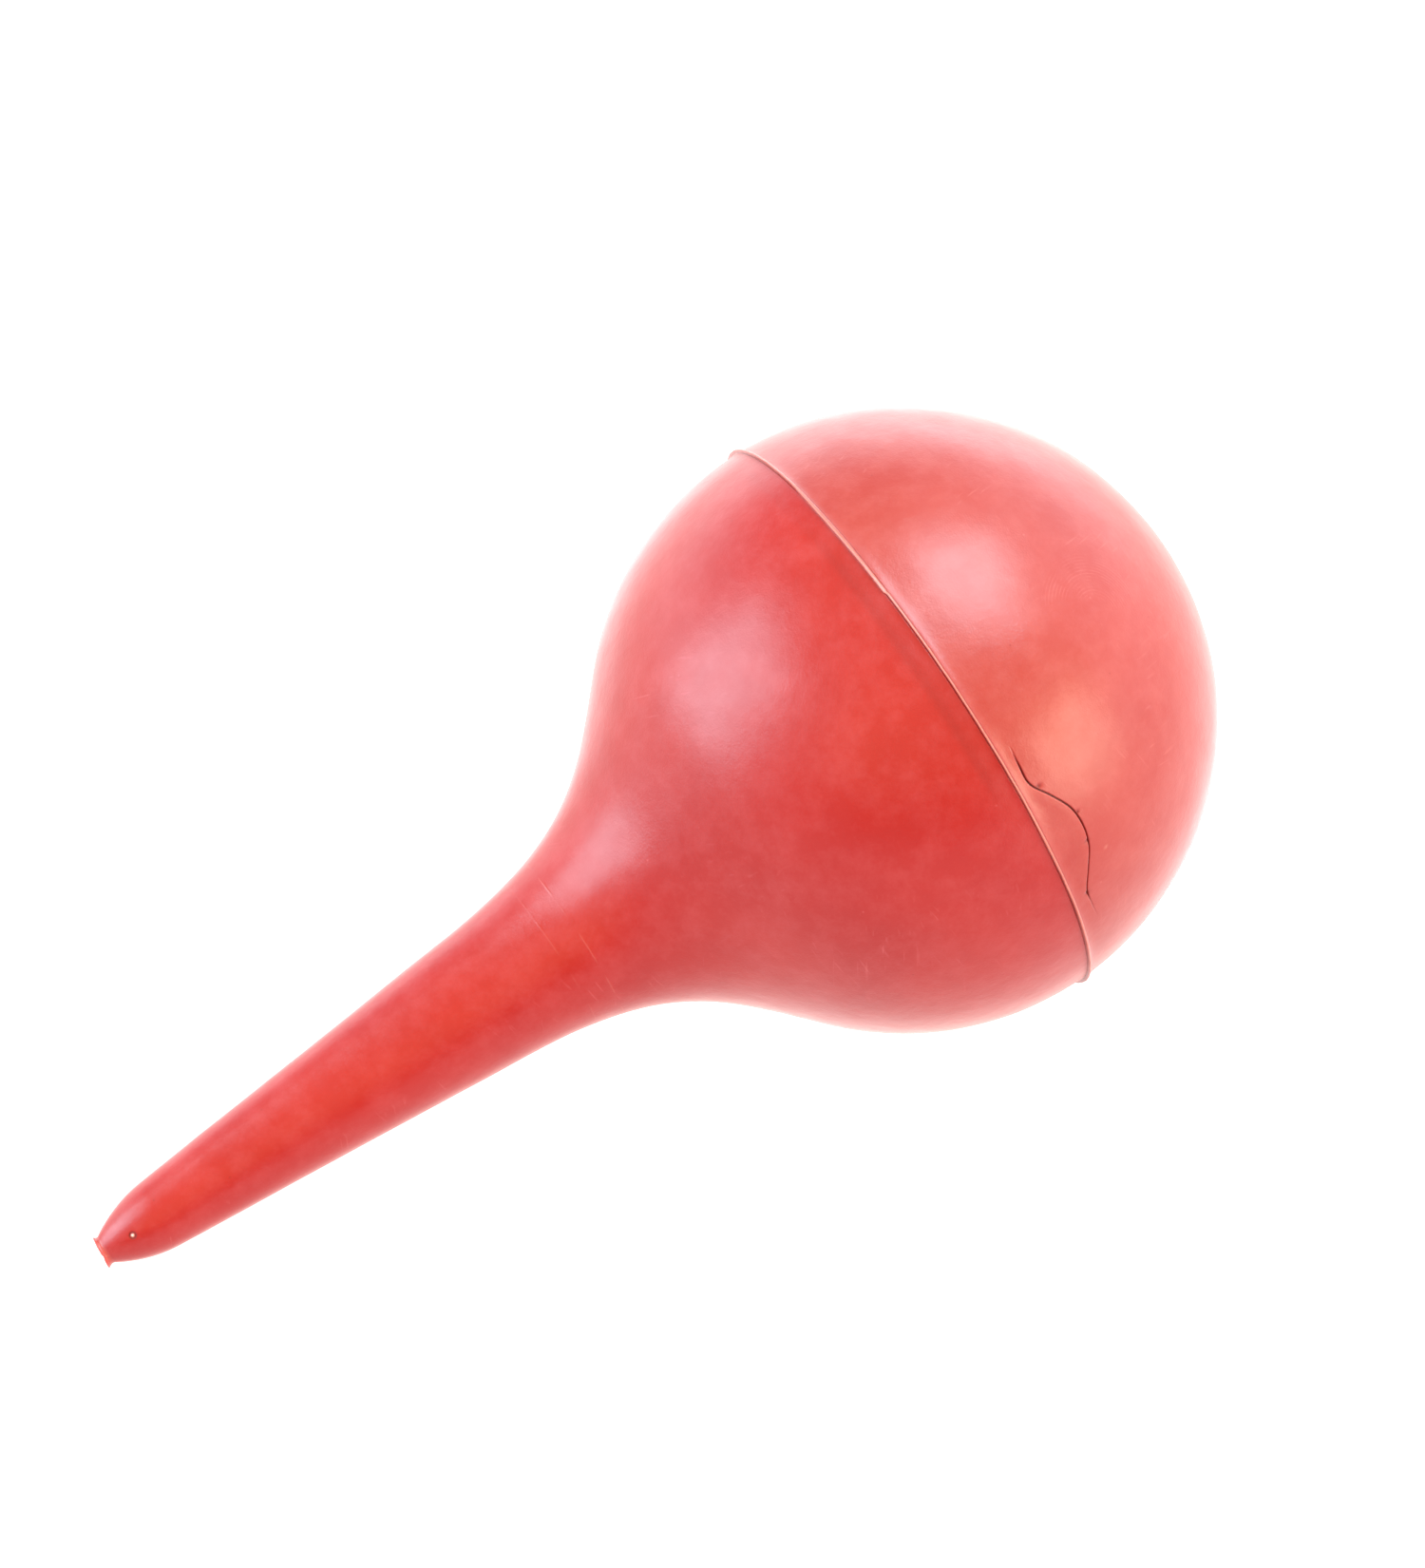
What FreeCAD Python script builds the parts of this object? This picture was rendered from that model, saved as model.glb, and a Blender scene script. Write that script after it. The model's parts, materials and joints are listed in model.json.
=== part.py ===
"""Red rubber suction bulb with one tapered nozzle, lying on its side on a floor.

The bulb is a hollow ball of rubber, made from a front half that carries the nozzle and a
rear half, welded together around the ball.  A thumb pushes the rear crown in towards the
nozzle, the rear wall folds with it, and air or liquid leaves through the nozzle's bore.

Millimetres, +Z up, origin on the floor at the middle of the part's footprint.
The nozzle points to -X and leans down, so the ball and the nozzle's end both touch the floor.

Every outline is drawn in the half-plane of the axis: "ahead" is the distance from the ball's
centre towards the nozzle's mouth, and "out" is the radius from the axis.
"""
import FreeCAD
import Part
import os
from math import asin, atan2, cos, degrees, hypot, radians, sin, tan

# ball
BALL_RADIUS = 30.0
WALL = 2.2
CROWN_HALF_ANGLE = radians(60.0)    # the rear cap that a thumb pushes, seen from the ball's centre

# weld between the two halves
SEAM_BEHIND_CENTRE = 0.4
SEAM_THICKNESS = 0.3
SEAM_PROUD = 0.5                    # fin of squeezed-out rubber on the outside
SEAM_INSIDE = 0.4                   # bead of squeezed-out rubber on the inside

# neck, where the ball runs into the nozzle
NECK_LEAVES_BALL = radians(47.2)    # slope of the ball's outline where the neck starts
NECK_END_AHEAD = 47.5
NECK_END_RADIUS = 6.83
NECK_PULL_AT_BALL = 10.2            # lengths of the two handles of the neck's curve
NECK_PULL_AT_NOZZLE = 15.2
NECK_LINE_AHEAD = 37.7              # ring line where the nozzle's mould meets the ball's mould

# nozzle
NOZZLE_SLOPE = radians(5.2)
NOZZLE_LENGTH = 91.0                # from the ball's centre to the mouth
NOSE_START_AHEAD = 84.5
NOSE_ARC_RADIUS = 13.5
NOSE_END_SLOPE = radians(32.0)
LIP_RADIUS = 1.5
LIP_THICKNESS = 0.15
LIP_WAIST_RADIUS = 1.36

# inside
BORE_RADIUS = 1.0
BORE_LENGTH = 12.0
NOZZLE_WALL = 2.2                   # wall where the nozzle meets the neck
INNER_PULL_AT_BALL = 12.0
INNER_PULL_AT_NOZZLE = 16.0

FULL_TURN = 360.0
AXIS_START = FreeCAD.Vector(0, 0, 0)
AXIS = FreeCAD.Vector(1, 0, 0)


def at(ahead, out):
    """A point of the outline half-plane in the drawing position, with the nozzle along -X."""
    return FreeCAD.Vector(-ahead, 0, out)


def step(start, length, slope):
    """The point at a length from start, on a line that closes on the axis at a slope."""
    return (start[0] + length * cos(slope), start[1] - length * sin(slope))


def line(start, end):
    return Part.makeLine(at(*start), at(*end))


def arc(start, middle, end):
    return Part.Arc(at(*start), at(*middle), at(*end)).toShape()


def neck_curve(start, start_slope, start_pull, end, end_slope, end_pull):
    """A curve that leaves start and reaches end along the two slopes."""
    curve = Part.BezierCurve()
    poles = [start, step(start, start_pull, start_slope), step(end, -end_pull, end_slope), end]
    curve.setPoles([at(*pole) for pole in poles])
    return curve.toShape()


def on_ball(radius, slope):
    """The point of a ball of that radius where its outline has the slope."""
    return (radius * sin(slope), radius * cos(slope))


def turn(edges):
    """The solid that the closed outline sweeps in one turn about the axis."""
    return Part.Face(Part.Wire(edges)).revolve(AXIS_START, AXIS, FULL_TURN)


def nose_point(slope):
    """The point of the nozzle's rounded nose where its outline has the slope."""
    start_out = nozzle_radius(NOSE_START_AHEAD)
    ahead = NOSE_START_AHEAD + NOSE_ARC_RADIUS * (sin(slope) - sin(NOZZLE_SLOPE))
    out = start_out - NOSE_ARC_RADIUS * (cos(NOZZLE_SLOPE) - cos(slope))
    return (ahead, out)


def nozzle_radius(ahead):
    return NECK_END_RADIUS - (ahead - NECK_END_AHEAD) * tan(NOZZLE_SLOPE)


def outer_solid():
    """Ball, neck, tapered nozzle, rounded nose and the thin lip at the mouth, without the hollow."""
    neck_start = on_ball(BALL_RADIUS, NECK_LEAVES_BALL)
    neck_end = (NECK_END_AHEAD, NECK_END_RADIUS)
    nose_start = nose_point(NOZZLE_SLOPE)
    nose_middle = nose_point((NOZZLE_SLOPE + NOSE_END_SLOPE) / 2)
    nose_end = nose_point(NOSE_END_SLOPE)
    lip_back = (NOZZLE_LENGTH - LIP_THICKNESS, LIP_RADIUS)
    waist = ((nose_end[0] + lip_back[0]) / 2, LIP_WAIST_RADIUS)
    lip_front = (NOZZLE_LENGTH, LIP_RADIUS)
    return turn([
        arc((-BALL_RADIUS, 0), (0, BALL_RADIUS), neck_start),
        neck_curve(neck_start, NECK_LEAVES_BALL, NECK_PULL_AT_BALL,
                   neck_end, NOZZLE_SLOPE, NECK_PULL_AT_NOZZLE),
        line(neck_end, nose_start),
        arc(nose_start, nose_middle, nose_end),
        arc(nose_end, waist, lip_back),
        line(lip_back, lip_front),
        line(lip_front, (NOZZLE_LENGTH, 0)),
        line((NOZZLE_LENGTH, 0), (-BALL_RADIUS, 0)),
    ])


def hollow_solid():
    """Chamber, tapered passage and the straight bore that opens at the mouth."""
    chamber_radius = BALL_RADIUS - WALL
    passage_start = (NECK_END_AHEAD, NECK_END_RADIUS - NOZZLE_WALL)
    bore_start = (NOZZLE_LENGTH - BORE_LENGTH, BORE_RADIUS)
    passage_slope = atan2(passage_start[1] - bore_start[1], bore_start[0] - passage_start[0])
    neck_start = on_ball(chamber_radius, NECK_LEAVES_BALL)
    return turn([
        arc((-chamber_radius, 0), (0, chamber_radius), neck_start),
        neck_curve(neck_start, NECK_LEAVES_BALL, INNER_PULL_AT_BALL,
                   passage_start, passage_slope, INNER_PULL_AT_NOZZLE),
        line(passage_start, bore_start),
        line(bore_start, (NOZZLE_LENGTH, BORE_RADIUS)),
        line((NOZZLE_LENGTH, BORE_RADIUS), (NOZZLE_LENGTH, 0)),
        line((NOZZLE_LENGTH, 0), (-chamber_radius, 0)),
    ])


def slice_between(shape, rear, front):
    """The stretch of a shape between two planes across the axis."""
    reach = 2 * BALL_RADIUS
    corner = FreeCAD.Vector(-front, -reach, -reach)
    return shape.common(Part.makeBox(front - rear, 2 * reach, 2 * reach, corner))


def make_nozzle(skin):
    return slice_between(skin, NECK_LINE_AHEAD, NOZZLE_LENGTH + WALL)


def make_front_shell(skin):
    return slice_between(skin, SEAM_THICKNESS / 2 - SEAM_BEHIND_CENTRE, NECK_LINE_AHEAD)


def make_seam_flash():
    """The welded ring: a thin disc with a rounded fin outside and a low bead inside."""
    rear = -SEAM_BEHIND_CENTRE - SEAM_THICKNESS / 2
    front = rear + SEAM_THICKNESS
    inner = BALL_RADIUS - WALL - SEAM_INSIDE
    round_start = BALL_RADIUS + SEAM_PROUD - SEAM_THICKNESS / 2
    crest = (-SEAM_BEHIND_CENTRE, BALL_RADIUS + SEAM_PROUD)
    return turn([
        line((rear, inner), (rear, round_start)),
        arc((rear, round_start), crest, (front, round_start)),
        line((front, round_start), (front, inner)),
        line((front, inner), (rear, inner)),
    ])


def make_rear_wall(skin):
    rear = -BALL_RADIUS * cos(CROWN_HALF_ANGLE)
    return slice_between(skin, rear, -SEAM_BEHIND_CENTRE - SEAM_THICKNESS / 2)


def make_rear_crown(skin):
    return slice_between(skin, -BALL_RADIUS - WALL, -BALL_RADIUS * cos(CROWN_HALF_ANGLE))


def nose_down_angle():
    """The lean at which one level plane touches both the ball and the rounded nose."""
    nose_centre_ahead = NOSE_START_AHEAD - NOSE_ARC_RADIUS * sin(NOZZLE_SLOPE)
    nose_centre_out = nozzle_radius(NOSE_START_AHEAD) - NOSE_ARC_RADIUS * cos(NOZZLE_SLOPE)
    reach = hypot(nose_centre_ahead, nose_centre_out)
    return asin((BALL_RADIUS - NOSE_ARC_RADIUS) / reach) - atan2(nose_centre_out, nose_centre_ahead)


def lay_down(shape):
    """Lean the part nose-down and set it on the floor with its footprint centred on the origin."""
    lean = nose_down_angle()
    rear_x = BALL_RADIUS
    mouth_x = -NOZZLE_LENGTH * cos(lean) - LIP_RADIUS * sin(lean)
    move = FreeCAD.Vector(-(rear_x + mouth_x) / 2, 0, BALL_RADIUS)
    rotation = FreeCAD.Rotation(FreeCAD.Vector(0, 1, 0), -degrees(lean))
    placed = shape.copy()
    placed.Placement = FreeCAD.Placement(move, rotation)
    return placed


def main():
    os.makedirs("parts", exist_ok=True)
    skin = outer_solid().cut(hollow_solid())
    parts = {
        "nozzle": make_nozzle(skin),
        "front_shell": make_front_shell(skin),
        "seam_flash": make_seam_flash(),
        "rear_wall": make_rear_wall(skin),
        "rear_crown": make_rear_crown(skin),
    }
    for name, shape in parts.items():
        solid = lay_down(shape)
        solid.exportStep("parts/" + name + ".step")
        box = solid.BoundBox
        print(name, "valid", solid.isValid(), "solids", len(solid.Solids), "mm3", round(solid.Volume))
        print("  x", round(box.XMin, 2), round(box.XMax, 2), "z", round(box.ZMin, 2), round(box.ZMax, 2))
    print("lean", round(degrees(nose_down_angle()), 2))


main()
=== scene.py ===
"""Looks of the red rubber suction bulb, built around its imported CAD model.

Lengths are in metres, in the CAD model's frame.  The bulb is a body of revolution, so most shapes
are drawn by three coordinates:
  ahead   distance along the axis from the ball's centre towards the mouth
  out     distance from the axis
  around  angle about the axis, 0 on the top ridge and growing towards the near side (-Y)
"""

import json
from math import asin, atan, cos, pi, radians, sin, tan

import bpy
import numpy as np
from mathutils import Euler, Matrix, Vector, noise


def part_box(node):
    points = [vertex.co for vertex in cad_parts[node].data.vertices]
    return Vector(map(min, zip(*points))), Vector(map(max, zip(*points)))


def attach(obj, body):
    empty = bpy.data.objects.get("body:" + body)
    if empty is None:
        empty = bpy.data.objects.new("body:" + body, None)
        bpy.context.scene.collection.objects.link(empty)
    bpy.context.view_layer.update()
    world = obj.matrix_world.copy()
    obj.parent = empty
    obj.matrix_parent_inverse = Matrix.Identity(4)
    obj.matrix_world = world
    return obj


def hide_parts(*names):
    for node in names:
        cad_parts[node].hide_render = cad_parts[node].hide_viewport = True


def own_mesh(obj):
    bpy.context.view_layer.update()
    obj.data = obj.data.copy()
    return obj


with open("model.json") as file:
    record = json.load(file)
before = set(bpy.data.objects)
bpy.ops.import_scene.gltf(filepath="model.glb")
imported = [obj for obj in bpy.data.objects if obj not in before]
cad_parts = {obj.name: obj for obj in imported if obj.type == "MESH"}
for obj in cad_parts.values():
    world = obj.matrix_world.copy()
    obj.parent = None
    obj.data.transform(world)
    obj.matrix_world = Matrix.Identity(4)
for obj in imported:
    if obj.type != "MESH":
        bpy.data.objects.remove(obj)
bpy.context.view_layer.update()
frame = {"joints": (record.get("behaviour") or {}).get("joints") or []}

MM = 0.001

# the axis and the ball, from the CAD model
SQUEEZE = frame["joints"][0]
FORWARD = Vector(SQUEEZE["axis"]).normalized()
NEAR_SIDE = Vector((0, -1, 0))
TOP_RIDGE = Vector((FORWARD.z, 0, -FORWARD.x))
BALL_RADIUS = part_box("front_shell")[1].y
BALL_CENTRE = Vector((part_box("rear_crown")[1].x - BALL_RADIUS, 0, BALL_RADIUS))
CREST_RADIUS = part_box("seam_flash")[1].y

# ball and weld
WALL = 2.2 * MM
INNER_RADIUS = BALL_RADIUS - WALL
SEAM_BEHIND = 0.4 * MM
SEAM_HALF = 0.15 * MM
SEAM_INSIDE = 0.4 * MM

# neck and nozzle
NECK_LEAVES_BALL = radians(47.2)
NECK_END = (47.5 * MM, 6.83 * MM)
NECK_PULLS = (10.2 * MM, 15.2 * MM)
NOZZLE_SLOPE = radians(5.2)
NOZZLE_LENGTH = 91.0 * MM
NOSE_START_AHEAD = 84.5 * MM
NOSE_ARC_RADIUS = 13.5 * MM
NOSE_END_SLOPE = radians(32.0)
LIP_RADIUS = 1.5 * MM
LIP_THICKNESS = 0.15 * MM
LIP_WAIST_DIP = 0.11 * MM
FACE_DISH = 0.14 * MM
BORE_RADIUS = 1.0 * MM
BORE_LENGTH = 12.0 * MM
NOZZLE_WALL = 2.2 * MM
INNER_PULLS = (12.0 * MM, 16.0 * MM)

# waves of the skin: height in mm, size in mm and seed of each
SKIN_WAVES = ((0.06, 14, 3.7), (0.03, 5, 9.1), (0.007, 2.2, 5.3))

# steps along the neck's outer and inner curves
NECK_STEPS = 400
INNER_NECK_STEPS = 16

# camera
VIEW_AZIMUTH = radians(-29.5)
VIEW_ELEVATION = radians(43.12)
VIEW_DISTANCE = 463.1 * MM
VIEW_AIM = BALL_CENTRE + Vector((-14.98, 10.49, -10.0)) * MM
SENSOR = 36.0
LENS = 109.1


# ---------------------------------------------------------------- points and curves

def place(ahead, out, around):
    """Points of the bulb as an array, from arrays of the three coordinates."""
    ahead, out, around = np.broadcast_arrays(ahead, out, around)
    upwards = np.cos(around)[..., None] * np.array(TOP_RIDGE)
    sideways = np.sin(around)[..., None] * np.array(NEAR_SIDE)
    spoke = upwards + sideways
    return np.array(BALL_CENTRE) + ahead[..., None] * np.array(FORWARD) + out[..., None] * spoke


def smooth(low, high, value):
    """0 below low, 1 above high, and an S-curve between."""
    t = np.clip((value - low) / (high - low), 0, 1)
    return t * t * (3 - 2 * t)


def bell(middle, width, value):
    return np.exp(-((value - middle) / width) ** 2)


def turn_from(middle, around):
    """How far an angle is from a middle one, in radians, either way round."""
    return (around - middle + pi) % (2 * pi) - pi


def curve_through(points, where):
    """A smooth curve of y over x through a few given points."""
    x, y = np.array(points, float).T
    slope = np.gradient(y, x)
    i = np.clip(np.searchsorted(x, where) - 1, 0, len(x) - 2)
    step = x[i + 1] - x[i]
    t = np.clip((where - x[i]) / step, 0, 1)
    return ((1 + 2 * t) * (1 - t) ** 2 * y[i] + t * (1 - t) ** 2 * step * slope[i]
            + t * t * (3 - 2 * t) * y[i + 1] + t * t * (t - 1) * step * slope[i + 1])


def ripple(points, size, seed):
    """Smooth noise from -1 to 1 over an array of points, with lumps of about a size."""
    flat = points.reshape(-1, 3) / size + seed
    return np.array([noise.noise(p) for p in flat]).reshape(points.shape[:-1])


def ripples(points, waves):
    """Several ripples added up; waves holds the height, the size in mm and the seed of each."""
    return sum(height * ripple(points, size * MM, seed) for height, size, seed in waves)


def skin_waves(points):
    """The slight unevenness of the moulded rubber, in metres."""
    return MM * ripples(points, SKIN_WAVES)


def stretch(start, end, spacing):
    """Evenly spaced values from start to end, without end."""
    count = max(1, round(abs(end - start) / spacing))
    return start + (end - start) * np.arange(count) / count


def stations(*spans):
    """Values along a line, in metres: each span is a start in mm and the spacing from there on.

    The last span's start is where the values end.
    """
    ends = [span[0] for span in spans[1:]]
    parts = [stretch(start, end, spacing) for (start, spacing), end in zip(spans, ends)]
    return np.concatenate(parts) * MM


# ---------------------------------------------------------------- outlines

def bezier(start, start_slope, start_pull, end, end_slope, end_pull, count):
    """Points of a curve that leaves start and reaches end along two slopes, without its end."""
    t = (np.arange(count) / count)[:, None]
    p0, p3 = np.array(start), np.array(end)
    p1 = p0 + start_pull * np.array((cos(start_slope), -sin(start_slope)))
    p2 = p3 - end_pull * np.array((cos(end_slope), -sin(end_slope)))
    return (1 - t) ** 3 * p0 + 3 * t * (1 - t) ** 2 * p1 + 3 * t * t * (1 - t) * p2 + t ** 3 * p3


def line_points(start, end, spacing):
    """Points along a straight line, without its end."""
    start, end = np.array(start), np.array(end)
    count = max(1, round(float(np.linalg.norm(end - start)) / spacing))
    return start + (end - start) * (np.arange(count) / count)[:, None]


def on_ball(radius, angle):
    """Where an angle ahead of the ball's middle is on a ball's outline."""
    return radius * sin(angle), radius * cos(angle)


def nozzle_radius(ahead):
    return NECK_END[1] - (ahead - NECK_END[0]) * tan(NOZZLE_SLOPE)


def neck_points():
    """The neck's curve, with close stations where its two mould lines cross it."""
    start = on_ball(BALL_RADIUS, NECK_LEAVES_BALL)
    curve = bezier(start, NECK_LEAVES_BALL, NECK_PULLS[0], NECK_END, NOZZLE_SLOPE, NECK_PULLS[1],
                   NECK_STEPS)
    ahead = stations((start[0] / MM, 0.35), (37.4, 0.05), (38.6, 0.3), (40.2, 0.06), (41.0, 0.35),
                     (NECK_END[0] / MM, 0))
    return np.stack([ahead, np.interp(ahead, curve[:, 0], curve[:, 1])], 1)


def nose_points():
    slope = stretch(NOZZLE_SLOPE, NOSE_END_SLOPE, 0.085 * MM / NOSE_ARC_RADIUS)
    ahead = NOSE_START_AHEAD + NOSE_ARC_RADIUS * (np.sin(slope) - sin(NOZZLE_SLOPE))
    out = nozzle_radius(NOSE_START_AHEAD) - NOSE_ARC_RADIUS * (cos(NOZZLE_SLOPE) - np.cos(slope))
    return np.stack([ahead, out], 1)


def lip_points():
    """The waist behind the lip, the lip's rounded edge and the dished end face, to the bore's edge."""
    half = LIP_THICKNESS / 2
    waist_start = nose_points()[-1]
    t = np.linspace(0.15, 1, 7)
    waist_ahead = waist_start[0] + (NOZZLE_LENGTH - LIP_THICKNESS - waist_start[0]) * t
    waist_out = waist_start[1] + (LIP_RADIUS - waist_start[1]) * t - LIP_WAIST_DIP * np.sin(pi * t)
    edge = np.linspace(-pi / 2, pi / 2, 6)[1:-1]
    face_out = np.linspace(LIP_RADIUS - 0.04 * MM, BORE_RADIUS + 0.06 * MM, 5)
    dish = FACE_DISH * smooth(LIP_RADIUS, BORE_RADIUS, face_out)
    return np.concatenate([
        np.stack([waist_ahead, waist_out], 1),
        np.stack([NOZZLE_LENGTH - half + half * np.sin(edge), LIP_RADIUS + half / 2 * np.cos(edge)], 1),
        np.stack([NOZZLE_LENGTH - dish, face_out], 1),
    ])


def front_outside():
    neck_ahead = on_ball(BALL_RADIUS, NECK_LEAVES_BALL)[0]
    ball_ahead = stations((0, 0.1), (0.6, 0.2), (3.2, 0.5), (neck_ahead / MM, 0))
    ball_ahead = ball_ahead - SEAM_BEHIND + SEAM_HALF
    ball_out = np.sqrt(BALL_RADIUS ** 2 - ball_ahead ** 2)
    nose_start = (NOSE_START_AHEAD, nozzle_radius(NOSE_START_AHEAD))
    return np.concatenate([
        np.stack([ball_ahead, ball_out], 1),
        neck_points(),
        line_points(NECK_END, nose_start, 0.5 * MM),
        nose_points(),
        lip_points(),
    ])


def front_inside():
    """The bore, the tapered passage and the chamber's front half, from the mouth back to the weld."""
    passage_start = (NECK_END[0], NECK_END[1] - NOZZLE_WALL)
    bore_start = (NOZZLE_LENGTH - BORE_LENGTH, BORE_RADIUS)
    passage_slope = atan((passage_start[1] - bore_start[1]) / (bore_start[0] - passage_start[0]))
    neck = bezier(on_ball(INNER_RADIUS, NECK_LEAVES_BALL), NECK_LEAVES_BALL, INNER_PULLS[0],
                  passage_start, passage_slope, INNER_PULLS[1], INNER_NECK_STEPS)
    ball_angle = stretch(NECK_LEAVES_BALL, asin(-(SEAM_BEHIND - SEAM_HALF) / INNER_RADIUS), 0.07)
    ball = INNER_RADIUS * np.stack([np.sin(ball_angle), np.cos(ball_angle)], 1)
    return np.concatenate([
        line_points((NOZZLE_LENGTH - 0.2 * MM, BORE_RADIUS), bore_start, 2 * MM),
        line_points(bore_start, passage_start, 2 * MM),
        [passage_start],
        neck[:0:-1],
        ball,
        [(-SEAM_BEHIND + SEAM_HALF, INNER_RADIUS)],
    ])


# ---------------------------------------------------------------- mesh building

def build(name, body, stands_for, verts, faces, marks):
    """A smooth closed piece; marks holds a number for each vertex, and a mark that isn't given is 0."""
    mesh = bpy.data.meshes.new(name)
    mesh.from_pydata([tuple(v) for v in verts], [], faces)
    mesh.update()
    mesh.shade_smooth()
    for mark, values in marks.items():
        attribute = mesh.attributes.new(mark, "FLOAT", "POINT")
        attribute.data.foreach_set("value", np.asarray(values, np.float32).ravel())
    piece = bpy.data.objects.new(name, mesh)
    bpy.context.scene.collection.objects.link(piece)
    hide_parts(*stands_for)
    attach(piece, body)
    return piece


def ring_faces(rows, columns, close_rows):
    """Quads of a grid whose columns close on themselves, and its rows too if asked."""
    faces = []
    for r in range(rows if close_rows else rows - 1):
        a, b = r * columns, ((r + 1) % rows) * columns
        for c in range(columns):
            d = (c + 1) % columns
            faces.append((a + c, b + c, b + d, a + d))
    return faces


# ---------------------------------------------------------------- front half

FRONT_COLUMNS = 240
FRONT_FILLET = 0.10 * MM
FRONT_FILLET_LENGTH = 0.25 * MM
# the lines that the mould left round the neck: how far ahead, and how proud
MOULD_LINES = ((38.0 * MM, 0.020 * MM), (40.6 * MM, 0.012 * MM))
MOULD_LINE_WIDTH = 0.06 * MM
# painted highlight along the mould lines, for each metre that they stand proud
MOULD_LINE_HIGHLIGHT = 6 / MM
PIP_AHEAD = 87.63 * MM
PIP_AROUND = radians(44.9)
PIP_HEIGHT = 0.07 * MM
PIP_DENT = 0.24 * MM
PIP_RING = 0.29 * MM
# the cut lip is longer on one side, nicked at one place, a little oval, and rough
LIP_LONG_SIDE = radians(130)
LIP_SLANT = 0.13 * MM
LIP_NOTCH = radians(60)
LIP_NOTCH_WIDTH = radians(9)
LIP_NOTCH_DEPTH = 0.13 * MM
LIP_OVAL = 0.07 * MM
LIP_PALENESS = 0.16
# the deeper red band beside the weld
BAND_WIDTH = 2.2 * MM
BAND_SOFTNESS = 0.3 * MM
BAND_FAR_EDGE = 1.75 * MM


def mould_lines(ahead, around):
    """How proud the broken lines round the neck are, and how much painted highlight they get."""
    rise, pale = 0.0, 0.0
    for line, height in MOULD_LINES:
        broken = smooth(-0.35, 0.3, ripple(place(line, 8 * MM, around), 2.2 * MM, 5.5))
        ridge = broken * height * bell(line, MOULD_LINE_WIDTH, ahead)
        rise = rise + ridge
        pale = pale + MOULD_LINE_HIGHLIGHT * ridge
    return rise, pale


def pip(ahead, out, around):
    """The small round pip near the mouth: how proud it is, the painted highlight of its white bead and
    the painted shade of its dark ring.
    """
    away = np.hypot(ahead - PIP_AHEAD, out * turn_from(PIP_AROUND, around))
    rise = PIP_HEIGHT * (bell(0, 0.11 * MM, away) - bell(PIP_DENT, 0.1 * MM, away))
    return rise, 1.2 * bell(0, 0.13 * MM, away), bell(PIP_RING, 0.09 * MM, away)


def deep_band(past_seam, around):
    """The deeper red band beside the weld: fainter above the nick, and deepest along its far edge."""
    degrees_around = np.degrees(turn_from(0, around))
    along = 0.4 * smooth(-42, -34, degrees_around) + 0.6 * smooth(-2, 12, degrees_around)
    along = along * (1 - smooth(52, 66, degrees_around))
    across = 1 - smooth(BAND_WIDTH - BAND_SOFTNESS, BAND_WIDTH + BAND_SOFTNESS, past_seam)
    far_edge = bell(BAND_FAR_EDGE, 0.55 * MM, past_seam)
    return along * (across + far_edge) / 2


def mouth_shape(ahead, out, around, points):
    """How much the cut lip runs ahead of and stands out from its outline."""
    near_mouth = smooth(NOZZLE_LENGTH - 0.6 * MM, NOZZLE_LENGTH - 0.1 * MM, ahead)
    at_lip = near_mouth * smooth(BORE_RADIUS, LIP_RADIUS, out + 0.15 * MM)
    from_long_side = around - LIP_LONG_SIDE
    slant = LIP_SLANT * (np.cos(from_long_side) + 0.4)
    notch = -LIP_NOTCH_DEPTH * bell(0, LIP_NOTCH_WIDTH, turn_from(LIP_NOTCH, around))
    rough = 0.06 * MM * ripple(points, 0.9 * MM, 2.2)
    flare = LIP_OVAL * np.cos(2 * from_long_side) + 0.05 * MM * ripple(points, 1.1 * MM, 7.7)
    return at_lip * (slant + notch + rough), at_lip * flare


def make_front_half():
    around = (np.arange(FRONT_COLUMNS) * 2 * pi / FRONT_COLUMNS)[None, :]
    outside = front_outside()
    outline = np.concatenate([outside, front_inside()])
    ahead = np.repeat(outline[:, :1], FRONT_COLUMNS, 1)
    out = np.repeat(outline[:, 1:], FRONT_COLUMNS, 1)
    outer = (np.arange(len(outline)) < len(outside))[:, None]
    points = place(ahead, out, around)
    past_seam = ahead + SEAM_BEHIND - SEAM_HALF

    waves = skin_waves(points) * smooth(0, 3 * MM, ahead)
    waves = waves * smooth(NOZZLE_LENGTH, NOZZLE_LENGTH - 4 * MM, ahead)
    fillet = FRONT_FILLET * np.exp(-past_seam / FRONT_FILLET_LENGTH)
    line_rise, line_highlight = mould_lines(ahead, around)
    pip_rise, pip_highlight, crevice_shade = pip(ahead, out, around)
    slide, flare = mouth_shape(ahead, out, around, points)
    rise = waves + fillet + line_rise + pip_rise + flare
    lip_pale = LIP_PALENESS * smooth(NOZZLE_LENGTH - 0.7 * MM, NOZZLE_LENGTH - 0.4 * MM, ahead)
    # the pip gets a painted highlight on its bead and painted shade in its ring, and the mould lines get
    # a painted highlight
    marks = {
        "crevice_shade": crevice_shade,
        "pale": line_highlight + lip_pale,
        "deep": deep_band(past_seam, around),
        "pip_highlight": pip_highlight,
    }

    points = place(ahead + slide * outer, out + rise * outer, around)
    marks = {name: values * outer for name, values in marks.items()}
    return build("front_half", "front", ("nozzle", "front_shell"), points.reshape(-1, 3),
                 ring_faces(len(outline), FRONT_COLUMNS, True), marks)


# ---------------------------------------------------------------- rear half

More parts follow.
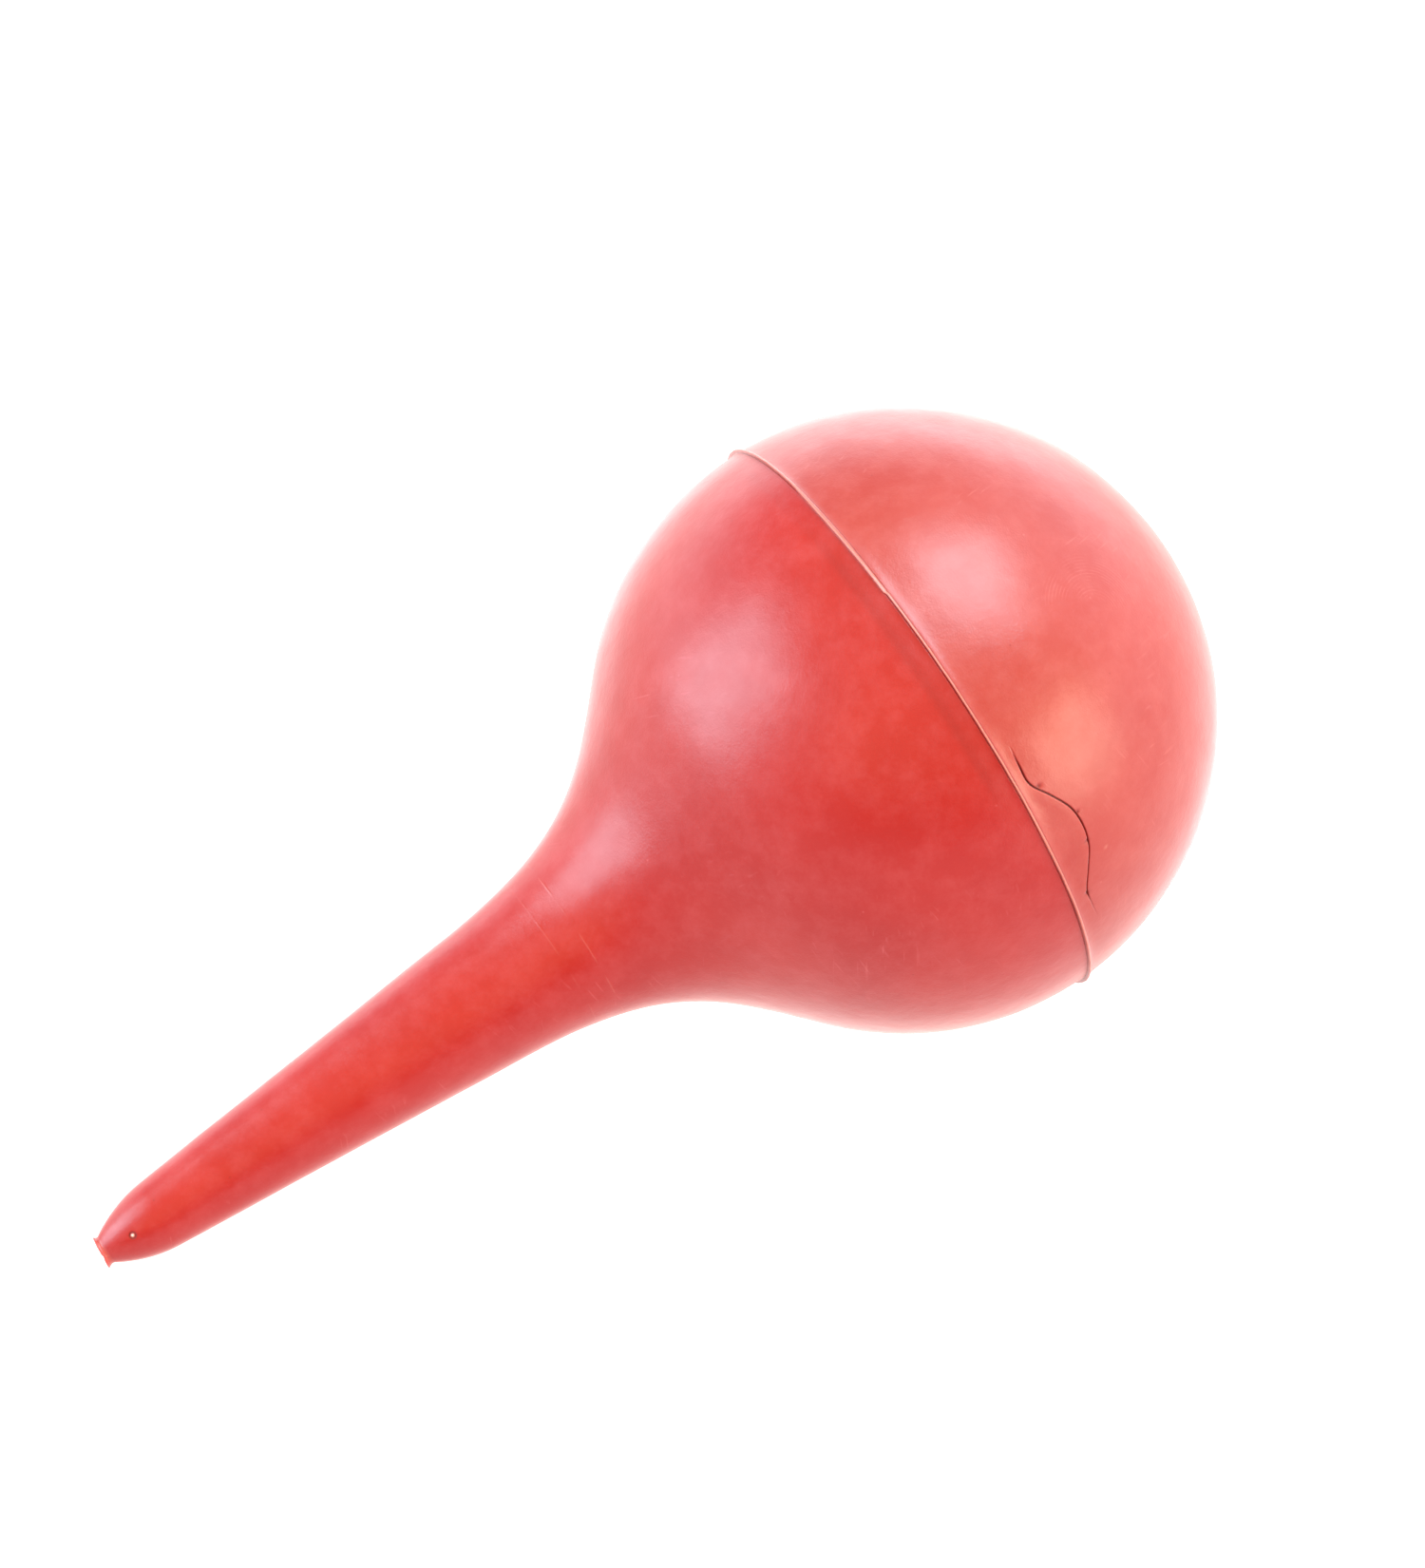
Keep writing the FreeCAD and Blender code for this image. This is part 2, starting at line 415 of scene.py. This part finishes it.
# how far behind the ball's middle the thin lap of rubber reaches, in mm, by angle about the axis
LAP_EDGE = ((44, 1.8), (52, 1.8), (57, 1.6), (61, 1.6), (65, 2.8), (69.5, 3.95), (74, 4.26),
            (78.5, 3.95), (83, 2.95), (87.5, 2.05), (91, 2.05), (100, 2.4), (112, 2.6), (124, 2.4))
LAP_STARTS = 46
LAP_ENDS = 122
# the lap is a thin film that ends in a groove
LAP_HEIGHT = 0.06 * MM
LAP_FILM = 1.6 * MM
LAP_GROOVE = 0.32 * MM
LAP_GROOVE_WIDTH = 0.07 * MM
LAP_GROOVE_PAST = 0.08 * MM
# spots: degrees about the axis, arc length back from the ball's middle in mm, radius in mm
PITS = ((62.3, 2.3, 0.2), (71.1, 4.42, 0.15), (77.3, 4.08, 0.2), (87.9, 2.04, 0.22))
PIT_DEPTH = 0.12 * MM
SPECK = (81.5, 5.47, 0.16)
SPECK_HEIGHT = 0.03 * MM
# the rear half swells up to the fin's crest
FILLET_LIMIT = 0.28 * MM
FILLET_SHARE = 0.88
FILLET_LENGTH = 0.4 * MM
CHAMBER_ROWS = 24


def lap_reach(around):
    """Arc length from the ball's middle back to the lap's edge."""
    return curve_through(LAP_EDGE, np.clip(np.degrees(around), LAP_STARTS, LAP_ENDS)) * MM


def lap_strength(around):
    """1 where the lap's edge stands open, fading to a faint line along the weld."""
    degrees_around = np.degrees(around)
    open_edge = smooth(53, 59, degrees_around) * (1 - smooth(87.5, 90.5, degrees_around))
    faint_edge = smooth(88, 90, degrees_around) * (1 - smooth(91, 96, degrees_around))
    return open_edge + 0.22 * faint_edge


def rear_arounds():
    """Angles about the axis, close together across the lap and wider apart elsewhere."""
    full_turn = LAP_STARTS + 360
    spans = ((LAP_STARTS, 58, 0.5), (58, 92, 0.25), (92, LAP_ENDS, 0.75), (LAP_ENDS, full_turn, 1.6))
    return np.radians(np.concatenate([stretch(*span) for span in spans]))


def rear_arcs(around):
    """Rows of arc length back from the ball's middle, bent so that one row follows the lap's edge."""
    seam = SEAM_BEHIND + SEAM_HALF
    edge = lap_reach(around)
    first_past = -0.14 * MM
    last_past = 0.32 * MM
    relaxed = 12 * MM
    mean_edge = 2 * MM
    rows = [seam + (edge + first_past - seam) * share for share in (np.arange(12) / 12) ** 1.5]
    rows += [edge + past for past in stretch(first_past, last_past, 0.04 * MM)]
    for past in stations((last_past / MM, 0.22), (3.0, 0.45), (relaxed / MM, 0)):
        share = smooth(last_past, relaxed, past)
        rows.append(edge * (1 - share) + mean_edge * share + past)
    quarter = BALL_RADIUS * pi / 2
    for arc in stretch(relaxed + mean_edge, quarter - 0.15 * MM, 0.65 * MM):
        rows.append(np.full_like(around, arc))
    return np.array(rows)


def spots(around, arc, spot):
    """A round spot on the rear half: 1 in its middle, falling to 0."""
    spot_around, spot_arc, radius = spot
    across = BALL_RADIUS * turn_from(radians(spot_around), around)
    return bell(0, radius * MM, np.hypot(across, arc - spot_arc * MM))


def behind(radius, angle, around):
    """Points at a distance from the ball's centre and an angle behind the ball's middle."""
    return place(-radius * np.sin(angle), radius * np.cos(angle), around)


def rear_relief(around, arc):
    """How proud the rear half's outside is of the ball, the painted shade in the lap's groove and its
    pits, and its pale marks.
    """
    past_edge = arc - lap_reach(around)
    past_seam = arc - SEAM_BEHIND - SEAM_HALF
    strength = lap_strength(around)
    on_film = smooth(-LAP_FILM, 0, past_edge)
    film = LAP_HEIGHT * (1 - smooth(-0.02 * MM, 0.04 * MM, past_edge)) * on_film
    groove = bell(LAP_GROOVE_PAST, LAP_GROOVE_WIDTH, past_edge)
    crest = np.minimum(fin_height(place(0.0, BALL_RADIUS, around), around), FILLET_LIMIT)
    fillet = FILLET_SHARE * crest * np.exp(-past_seam / FILLET_LENGTH)
    speck = spots(around, arc, SPECK)
    points = behind(BALL_RADIUS, arc / BALL_RADIUS, around)
    waves = skin_waves(points) * smooth(1 * MM, 4 * MM, arc)

    rise = waves + (film - LAP_GROOVE * groove) * strength + fillet + SPECK_HEIGHT * speck
    # painted shade in the lap's groove, and below in the pits
    crevice_shade = np.minimum(strength * 1.3, 1) * groove
    for pit in PITS:
        hollow = spots(around, arc, pit)
        rise = rise - PIT_DEPTH * hollow
        crevice_shade = np.maximum(crevice_shade, hollow)
    pale = 0.35 * speck + 0.05 * strength * on_film * (past_edge < 0)
    return rise, crevice_shade, pale


def make_rear_half():
    around = rear_arounds()[None, :]
    arc = rear_arcs(around[0])
    rise, crevice_shade, pale = rear_relief(around, arc)
    outside = behind(BALL_RADIUS + rise, arc / BALL_RADIUS, around)

    seam_angle = asin((SEAM_BEHIND + SEAM_HALF) / INNER_RADIUS)
    inner_angle = np.linspace(pi / 2 - 0.01, seam_angle, CHAMBER_ROWS)[:, None]
    inside = behind(INNER_RADIUS, inner_angle, around)
    poles = place(np.array([-BALL_RADIUS, -INNER_RADIUS]), 0.0, 0.0)
    points = np.concatenate([outside.reshape(-1, 3), inside.reshape(-1, 3), poles])
    faces = rear_faces(len(arc), len(inner_angle), around.size)
    unmarked = np.zeros(inside[..., 0].size + len(poles))
    marks = {"crevice_shade": np.append(crevice_shade, unmarked), "pale": np.append(pale, unmarked)}
    piece = build("rear_half", "rear", ("rear_wall", "rear_crown"), points, faces, marks)
    squash_to_seam(piece)
    return piece


def rear_faces(outer_rows, inner_rows, columns):
    """Outer rows run from weld to pole, inner rows from pole to weld, then come the two poles."""
    inner_start = outer_rows * columns
    outer_pole = inner_start + inner_rows * columns
    faces = ring_faces(outer_rows, columns, False)
    faces += [tuple(i + inner_start for i in face) for face in ring_faces(inner_rows, columns, False)]
    last_outer = inner_start - columns
    last_inner = outer_pole - columns
    for c in range(columns):
        d = (c + 1) % columns
        faces.append((last_outer + c, outer_pole, last_outer + d))
        faces.append((inner_start + c, inner_start + d, outer_pole + 1))
        faces.append((last_inner + c, c, d, last_inner + d))
    return [face[::-1] for face in faces]


def squash_to_seam(piece):
    """Gives the rear half its own copy of its mesh."""
    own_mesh(piece)


# ---------------------------------------------------------------- seam fin

FIN_COLUMNS = 1200
NICK_AROUND = radians(19)
NICK_OFFSET = 0.16 * MM
FIN_ROOT = BALL_RADIUS - 0.15 * MM
# the fin is lowest at the worn angle and opposite it, and its crest gets painted shade at two angles
# between
WORN = radians(40)
UPPER_DARK = radians(-50)
LOWER_DARK = radians(126)
UPPER_DARKNESS = 0.8
LOWER_DARKNESS = 0.6
# painted highlight along the fin's crest
CREST_HIGHLIGHT = 0.45
# how the fin's height varies and how it wanders: share or mm, size in mm and seed of each wave
FIN_UNEVEN = ((0.08, 6, 1.3), (0.06, 1.2, 2.9))
FIN_WANDER = ((0.05, 9, 6.1), (0.02, 2, 4.4))
# half widths of the fin from root to crest: share of its height, share of the weld's half thickness
FIN_FRONT = ((0, 1), (0.35, 1.0), (0.5, 0.8), (0.7, 0.6), (0.88, 0.45), (0.97, 0.3), (1.0, 0.12))
FIN_REAR = ((0, 1), (0.5, 1.0), (0.84, 1.0), (0.93, 0.65), (0.98, 0.35), (1.0, 0.12))
# between which shares of its height each side starts and stops following the fin's lean
FRONT_LEAN = (0, 0.3)
REAR_LEAN = (0.8, 1.0)


def fin_height(rim, around):
    """The fin's uneven height above the ball, lower where it is worn, with a dip at its nick."""
    uneven = 0.88 + ripples(rim, FIN_UNEVEN)
    worn = 0.6 + 0.4 * np.sin(around - WORN) ** 2
    dip = 1 - 0.3 * bell(0, radians(0.45), turn_from(NICK_AROUND, around))
    return (CREST_RADIUS - BALL_RADIUS) * uneven * worn * dip


def fin_lean(rim, around):
    """How far the fin wanders towards the mouth; one stretch is offset and ends at the nick."""
    wander = MM * ripples(rim, FIN_WANDER)
    past_nick = turn_from(NICK_AROUND, around)
    starts = smooth(radians(-33), radians(-21), past_nick)
    ends = smooth(radians(-0.3), radians(0.5), past_nick)
    return wander + NICK_OFFSET * starts * (1 - ends)


def fin_shade(rim, around):
    """How much painted shade darkens the fin's front foot: most just past the nick, and a little more
    over a stretch further round.
    """
    past_nick = turn_from(NICK_AROUND, around)
    shade = 0.05 + 0.35 * bell(radians(3), radians(3), past_nick) + 0.12 * ripple(rim, 4 * MM, 8.3)
    shade = shade + 0.6 * bell(radians(0.7), radians(0.6), past_nick)
    lower_foot_shade = smooth(radians(30), radians(75), turn_from(WORN, around))
    return shade + 0.12 * lower_foot_shade * smooth(radians(150), radians(135), around)


def make_seam_fin():
    """The welded ring with its uneven fin: a web through the wall, proud outside and low inside."""
    around = np.arange(FIN_COLUMNS) * 2 * pi / FIN_COLUMNS
    rim = place(0.0, BALL_RADIUS, around)
    height = fin_height(rim, around) + BALL_RADIUS - FIN_ROOT
    lean = fin_lean(rim, around)
    shade = fin_shade(rim, around)
    # painted shade on the crest where the fin curls round at its two ends
    upper_crest_shade = UPPER_DARKNESS * bell(0, radians(7), turn_from(UPPER_DARK, around))
    lower_crest_shade = LOWER_DARKNESS * bell(0, radians(9), turn_from(LOWER_DARK, around))
    rows, crevice_shade, pale = [], [], []
    for side, profile, lean_span in ((-1, FIN_REAR, REAR_LEAN), (1, FIN_FRONT[::-1], FRONT_LEAN)):
        for share, width in profile:
            sideways = side * width * SEAM_HALF + lean * smooth(*lean_span, share)
            rows.append(place(-SEAM_BEHIND + sideways, FIN_ROOT + height * share, around))
            # painted shade at the front foot, and a painted highlight along the crest
            foot = shade * smooth(0.92, 0.6, share) * (side > 0)
            crevice_shade.append(foot + upper_crest_shade * smooth(0.75, 1, share) + lower_crest_shade)
            pale.append(np.full_like(around, CREST_HIGHLIGHT * smooth(0.8, 1.0, share)))
    for side in (1, -1):
        rows.append(place(-SEAM_BEHIND + side * SEAM_HALF, INNER_RADIUS - SEAM_INSIDE, around))
        for mark in (crevice_shade, pale):
            mark.append(0 * around)
    faces = ring_faces(len(rows), FIN_COLUMNS, True)
    marks = {"crevice_shade": np.clip(crevice_shade, 0, 1), "pale": np.array(pale)}
    return build("seam_fin", "front", ("seam_flash",), np.array(rows).reshape(-1, 3), faces, marks)


# ---------------------------------------------------------------- material

# colours of the two halves: the two close reds in patches, and the pale bloom
FRONT_REDS = ((0.295, 0.003, 0.002), (0.325, 0.007, 0.004), (0.55, 0.14, 0.15))
REAR_REDS = ((0.298, 0.024, 0.018), (0.326, 0.038, 0.030), (0.58, 0.20, 0.18))
# colours of the marks
# painted shade for the lap's groove, the pits, the pip's ring and the fin's foot and crest ends
CREVICE_SHADE_RED = (0.13, 0.002, 0.001)
# pale, partly a painted highlight along the fin's crest and the mould lines
PALE_RED = (0.62, 0.28, 0.22)
# painted highlight on the pip
PIP_HIGHLIGHT_WHITE = (0.74, 0.52, 0.42)
SPECK_DARK = (0.14, 0.003, 0.002)
DEEP_SHADE = 0.7
# how strongly each mark shows
CLOUD_HAZE = 0.13
SCRATCH_HAZE = 0.16
LIGHT_SPECK_HAZE = 0.25
ARCS_HAZE = 0.12
DARK_SPECK_STRENGTH = 0.5
DEEP_STRENGTH = 0.42
# specks: the cell that each has to itself, its size, and the share of the cells that hold one
LIGHT_SPECKS = (3.1 * MM, 0.16 * MM, 0.25)
DARK_SPECKS = (2.3 * MM, 0.13 * MM, 0.3)
# scratches: their directions, and how many noise lumps fit in a metre along and across them
SCRATCH_TURNS = ((0.3, 0.2, 0.5), (1.2, 0.7, 1.9), (0.8, 2.1, 2.8), (2.0, 1.4, 0.9))
SCRATCH_SCALE = (150, 2400, 2400)
SCRATCH_PATCH_SCALE = (120, 120, 120)
# the wiped arcs: the point that they run round, the side of it they are on, and their distances from it
ARCS_CENTRE = BALL_CENTRE + Vector((9.7, -17.4, 22.4)) * MM
ARCS_SIDE = Vector((0.35, 0.6, 0.72))
ARCS_SPACING = 0.34 * MM
ARCS_FROM = 2.4 * MM
ARCS_TO = 5.4 * MM
# the smoothest and the roughest skin, and what a scratch adds
ROUGHNESS = (0.29, 0.36)
SCRATCH_ROUGHNESS = 0.1


def texture_place(tree, scale=(1, 1, 1), rotation=(0, 0, 0)):
    """The piece's own coordinates, in metres, turned and then scaled."""
    mapping = tree.nodes.new("ShaderNodeMapping")
    mapping.vector_type = "TEXTURE"
    mapping.inputs["Rotation"].default_value = rotation
    mapping.inputs["Scale"].default_value = [1 / s for s in scale]
    tree.links.new(tree.nodes.new("ShaderNodeTexCoord").outputs["Object"], mapping.inputs["Vector"])
    return mapping.outputs["Vector"]


def noise_texture(tree, where, scale, detail=3.0, roughness=0.5):
    node = tree.nodes.new("ShaderNodeTexNoise")
    node.inputs["Scale"].default_value = scale
    node.inputs["Detail"].default_value = detail
    node.inputs["Roughness"].default_value = roughness
    tree.links.new(where, node.inputs["Vector"])
    return node.outputs["Fac"]


def remap(tree, value, low, high, to_low=0.0, to_high=1.0):
    node = tree.nodes.new("ShaderNodeMapRange")
    for name, number in (("From Min", low), ("From Max", high), ("To Min", to_low), ("To Max", to_high)):
        node.inputs[name].default_value = number
    tree.links.new(value, node.inputs["Value"])
    return node.outputs["Result"]


def combine(tree, operation, first, second=0.0):
    """A math node; each value is a number or an output, and some operations use only the first."""
    node = tree.nodes.new("ShaderNodeMath")
    node.operation = operation
    for socket, value in zip(node.inputs, (first, second)):
        if isinstance(value, (int, float)):
            socket.default_value = value
        else:
            tree.links.new(value, socket)
    return node.outputs["Value"]


def product(tree, first, *others):
    """Values multiplied together."""
    for other in others:
        first = combine(tree, "MULTIPLY", first, other)
    return first


def add_share(tree, total, value, share):
    """A total with a share of a value added."""
    return combine(tree, "ADD", total, product(tree, value, share))


def combine_vectors(tree, operation, *values):
    """A vector math node; each value is an output or three numbers."""
    node = tree.nodes.new("ShaderNodeVectorMath")
    node.operation = operation
    for socket, value in zip(node.inputs, values):
        if isinstance(value, bpy.types.NodeSocket):
            tree.links.new(value, socket)
        else:
            socket.default_value = value
    return node.outputs["Value" if operation in ("DOT_PRODUCT", "LENGTH") else "Vector"]


def blend_colours(tree, share, first, second):
    """Blends from the first colour to the second; each is a colour or an output."""
    node = tree.nodes.new("ShaderNodeMix")
    node.data_type = "RGBA"
    tree.links.new(share, node.inputs["Factor"])
    colour_inputs = [socket for socket in node.inputs if socket.type == "RGBA"]
    for socket, value in zip(colour_inputs, (first, second)):
        if isinstance(value, tuple):
            socket.default_value = (*value, 1)
        else:
            tree.links.new(value, socket)
    return next(socket for socket in node.outputs if socket.type == "RGBA")


def vertex_mark(tree, name):
    node = tree.nodes.new("ShaderNodeAttribute")
    node.attribute_name = name
    return node.outputs["Fac"]


def specks(tree, cell, size, keep):
    """Sparse round dots: one in each cell of about a length, kept in a share of the cells."""
    node = tree.nodes.new("ShaderNodeTexVoronoi")
    node.inputs["Scale"].default_value = 1 / cell
    tree.links.new(texture_place(tree), node.inputs["Vector"])
    dot = remap(tree, node.outputs["Distance"], size / cell, 0.3 * size / cell)
    chosen = tree.nodes.new("ShaderNodeSeparateColor")
    tree.links.new(node.outputs["Color"], chosen.inputs["Color"])
    return product(tree, dot, combine(tree, "LESS_THAN", chosen.outputs["Red"], keep))


def lies_along(tree, direction):
    """1 where a direction runs along the skin, falling to 0 where it runs into it."""
    normal = tree.nodes.new("ShaderNodeTexCoord").outputs["Normal"]
    into = combine(tree, "ABSOLUTE", combine_vectors(tree, "DOT_PRODUCT", normal, direction))
    return remap(tree, into, 0.45, 0.15)


def streaks(tree):
    """Hairline scratches in a few directions, each in its own patches."""
    total = 0.0
    for rotation in SCRATCH_TURNS:
        direction = Euler(rotation).to_matrix() @ Vector((1, 0, 0))
        line = noise_texture(tree, texture_place(tree, SCRATCH_SCALE, rotation), 1, 1)
        patch = noise_texture(tree, texture_place(tree, SCRATCH_PATCH_SCALE, rotation), 1, 1)
        streak = product(tree, remap(tree, line, 0.66, 0.74), remap(tree, patch, 0.5, 0.62),
                         lies_along(tree, direction))
        total = combine(tree, "ADD", total, streak)
    return total


def wiped_arcs(tree):
    """Faint arcs left by wiping one patch of the rear half: parts of rings about a point."""
    where = texture_place(tree)
    offset = combine_vectors(tree, "SUBTRACT", where, ARCS_CENTRE)
    away = combine_vectors(tree, "LENGTH", offset)
    above = combine_vectors(tree, "DOT_PRODUCT", offset, ARCS_SIDE)
    rings = combine(tree, "SINE", product(tree, away, 2 * pi / ARCS_SPACING))
    return product(tree,
                   remap(tree, rings, 0.1, 0.9),
                   remap(tree, away, ARCS_FROM - MM, ARCS_FROM),
                   remap(tree, away, ARCS_TO + MM, ARCS_TO),
                   remap(tree, above, 0.3 * MM, 1.5 * MM),
                   remap(tree, noise_texture(tree, where, 700, 2), 0.42, 0.6))


def rubber_colour(tree, where, scratches, deep, warm, bloom):
    """Two close reds in patches under a thin pale bloom, with specks and the marks of the mesh, some of
    which paint in highlights and shade.
    """
    patches = remap(tree, noise_texture(tree, where, 75, 4), 0.35, 0.65)
    colour = blend_colours(tree, patches, deep, warm)
    haze = remap(tree, noise_texture(tree, where, 330, 6, 0.7), 0.42, 0.75, 0.0, CLOUD_HAZE)
    haze = add_share(tree, haze, scratches, SCRATCH_HAZE)
    haze = add_share(tree, haze, specks(tree, *LIGHT_SPECKS), LIGHT_SPECK_HAZE)
    haze = add_share(tree, haze, wiped_arcs(tree), ARCS_HAZE)
    colour = blend_colours(tree, haze, colour, bloom)
    dark_dots = product(tree, specks(tree, *DARK_SPECKS), DARK_SPECK_STRENGTH)
    colour = blend_colours(tree, dark_dots, colour, SPECK_DARK)
    shaded = product(tree, vertex_mark(tree, "deep"), DEEP_STRENGTH)
    colour = blend_colours(tree, shaded, colour, tuple(DEEP_SHADE * c for c in deep))
    # the pale mark is partly painted highlight, the pip mark painted highlight, and the crevice mark
    # painted shade
    for mark, mark_colour in (("pale", PALE_RED), ("pip_highlight", PIP_HIGHLIGHT_WHITE), ("crevice_shade", CREVICE_SHADE_RED)):
        colour = blend_colours(tree, vertex_mark(tree, mark), colour, mark_colour)
    return colour


def rubber_roughness(tree, where, scratches):
    rough = remap(tree, noise_texture(tree, where, 420, 4), 0.3, 0.7, *ROUGHNESS)
    return add_share(tree, rough, scratches, SCRATCH_ROUGHNESS)


def rubber_grain(tree, where):
    """A fine grain over a coarser one."""
    grain = tree.nodes.new("ShaderNodeBump")
    grain.inputs["Strength"].default_value = 0.5
    grain.inputs["Distance"].default_value = 0.02 * MM
    fine = noise_texture(tree, where, 5200, 2)
    coarse = noise_texture(tree, where, 1100, 3)
    tree.links.new(add_share(tree, fine, coarse, 2.0), grain.inputs["Height"])
    return grain.outputs["Normal"]


def red_rubber(name, deep, warm, bloom):
    """Matt moulded rubber with a thin bloom, specks, scratches and grain."""
    material = bpy.data.materials.new(name)
    material.use_nodes = True
    tree = material.node_tree
    shader = tree.nodes["Principled BSDF"]
    where = texture_place(tree)
    scratches = streaks(tree)
    tree.links.new(rubber_colour(tree, where, scratches, deep, warm, bloom), shader.inputs["Base Color"])
    tree.links.new(rubber_roughness(tree, where, scratches), shader.inputs["Roughness"])
    tree.links.new(rubber_grain(tree, where), shader.inputs["Normal"])
    shader.inputs["IOR"].default_value = 1.5
    shader.inputs["Subsurface Weight"].default_value = 0.25
    shader.inputs["Subsurface Radius"].default_value = (1.0, 0.22, 0.10)
    shader.inputs["Subsurface Scale"].default_value = 1.2 * MM
    shader.inputs["Sheen Weight"].default_value = 0.5
    shader.inputs["Sheen Roughness"].default_value = 0.3
    return material


# ---------------------------------------------------------------- stage, light and camera

COOL = (0.90, 1.0, 1.08)
WARM = (1.55, 1.0, 0.68)
COOL_LAMP = (0.58, 0.86, 1.0)
WARM_LAMP = (1.0, 0.84, 0.60)
# how bright the room is at each eighth of a turn from +X, at floor level and half way up
LOW_GLOW = (1.6, 4.7, 3.35, 3.2, 1.4, 0.0, 0.3, 2.4)
HIGH_GLOW = (2.6, 1.05, 0.5, 2.1, 1.6, 1.6, 1.0, 1.1)
CEILING_GLOW = 1.1
# the floor glows a little less in front of the bulb than behind it
FLOOR_DEPTHS = (-0.08, 0.06)
FLOOR_GLOWS = ((1.50, 1.09, 1.07), (1.72, 1.44, 1.42))
HIGH = radians(30)
EIGHTH = radians(45)
# the upper walls are warm from this eighth on
WARM_FROM = 5


def make_floor():
    bpy.ops.mesh.primitive_plane_add(size=6)
    floor = bpy.context.object
    floor.name = "floor"
    material = bpy.data.materials.new("pale_floor")
    material.use_nodes = True
    tree = material.node_tree
    shader = tree.nodes["Principled BSDF"]
    shader.inputs["Base Color"].default_value = (0.05, 0.05, 0.05, 1)
    shader.inputs["Roughness"].default_value = 1.0
    shader.inputs["Emission Strength"].default_value = 1.0
    away_from_camera = (-sin(VIEW_AZIMUTH), cos(VIEW_AZIMUTH), 0)
    depth = combine_vectors(tree, "DOT_PRODUCT", texture_place(tree), away_from_camera)
    share = remap(tree, depth, *FLOOR_DEPTHS)
    tree.links.new(blend_colours(tree, share, *FLOOR_GLOWS), shader.inputs["Emission Color"])
    floor.data.materials.append(material)


def softbox(name, toward, distance, size, power, colour):
    """A rectangular area light in a direction from the ball, facing it."""
    light = bpy.data.lights.new(name, "AREA")
    light.shape = "RECTANGLE"
    light.size, light.size_y = size
    light.energy = power
    light.color = colour
    lamp = bpy.data.objects.new(name, light)
    toward = Vector(toward).normalized()
    lamp.location = BALL_CENTRE + toward * distance
    lamp.rotation_mode = "QUATERNION"
    lamp.rotation_quaternion = toward.to_track_quat("Z", "Y")
    bpy.context.scene.collection.objects.link(lamp)


def make_lights():
    softbox("top_softbox", (0.31, -0.075, 0.945), 0.9, (0.60, 0.55), 10.6, COOL_LAMP)
    softbox("left_softbox", (-0.85, 0.34, 0.41), 0.9, (0.60, 0.72), 9.2, COOL_LAMP)
    softbox("right_softbox", (0.53, -0.815, 0.245), 1.1, (0.6, 0.6), 7.3, WARM_LAMP)


def near_panel(tree, azimuth, elevation, panel_azimuth, panel_elevation):
    """1 at the middle of a stretch of wall, falling evenly to 0 at the middles of the next."""
    sideways = combine(tree, "COSINE", combine(tree, "SUBTRACT", azimuth, panel_azimuth))
    sideways = combine(tree, "ARCCOSINE", sideways)
    upwards = combine(tree, "ABSOLUTE", combine(tree, "SUBTRACT", elevation, panel_elevation))
    return product(tree, remap(tree, sideways, EIGHTH, 0), remap(tree, upwards, HIGH, 0))


def make_world():
    """A pale room that is bright low down behind and beside the bulb, and dim behind the camera."""
    world = bpy.data.worlds.new("pale_room")
    bpy.context.scene.world = world
    world.use_nodes = True
    tree = world.node_tree
    toward = tree.nodes.new("ShaderNodeSeparateXYZ")
    tree.links.new(tree.nodes.new("ShaderNodeTexCoord").outputs["Generated"], toward.inputs[0])
    azimuth = combine(tree, "ARCTAN2", toward.outputs["Y"], toward.outputs["X"])
    elevation = combine(tree, "ARCSINE", toward.outputs["Z"])
    glows = [(remap(tree, elevation, HIGH, 2 * HIGH), CEILING_GLOW, WARM)]
    for height, strengths in ((0, LOW_GLOW), (HIGH, HIGH_GLOW)):
        for i, strength in enumerate(strengths):
            share = near_panel(tree, azimuth, elevation, i * EIGHTH, height)
            glows.append((share, strength, WARM if height and i >= WARM_FROM else COOL))
    total = (0, 0, 0)
    for share, strength, colour in glows:
        total = combine_vectors(tree, "MULTIPLY_ADD", share, [strength * c for c in colour], total)
    tree.links.new(total, tree.nodes["Background"].inputs["Color"])


def make_camera():
    data = bpy.data.cameras.new("camera")
    data.sensor_width = SENSOR
    data.lens = LENS
    data.clip_start = 0.01
    camera = bpy.data.objects.new("camera", data)
    back = Vector((sin(VIEW_AZIMUTH) * cos(VIEW_ELEVATION), -cos(VIEW_AZIMUTH) * cos(VIEW_ELEVATION),
                   sin(VIEW_ELEVATION)))
    camera.location = VIEW_AIM + back * VIEW_DISTANCE
    camera.rotation_mode = "QUATERNION"
    camera.rotation_quaternion = back.to_track_quat("Z", "Y")
    bpy.context.scene.collection.objects.link(camera)
    bpy.context.scene.camera = camera
    bpy.context.scene.view_settings.view_transform = "Standard"


make_camera()
front_red = red_rubber("front_rubber", *FRONT_REDS)
rear_red = red_rubber("rear_rubber", *REAR_REDS)
make_front_half().data.materials.append(front_red)
make_rear_half().data.materials.append(rear_red)
make_seam_fin().data.materials.append(rear_red)
make_floor()
make_lights()
make_world()
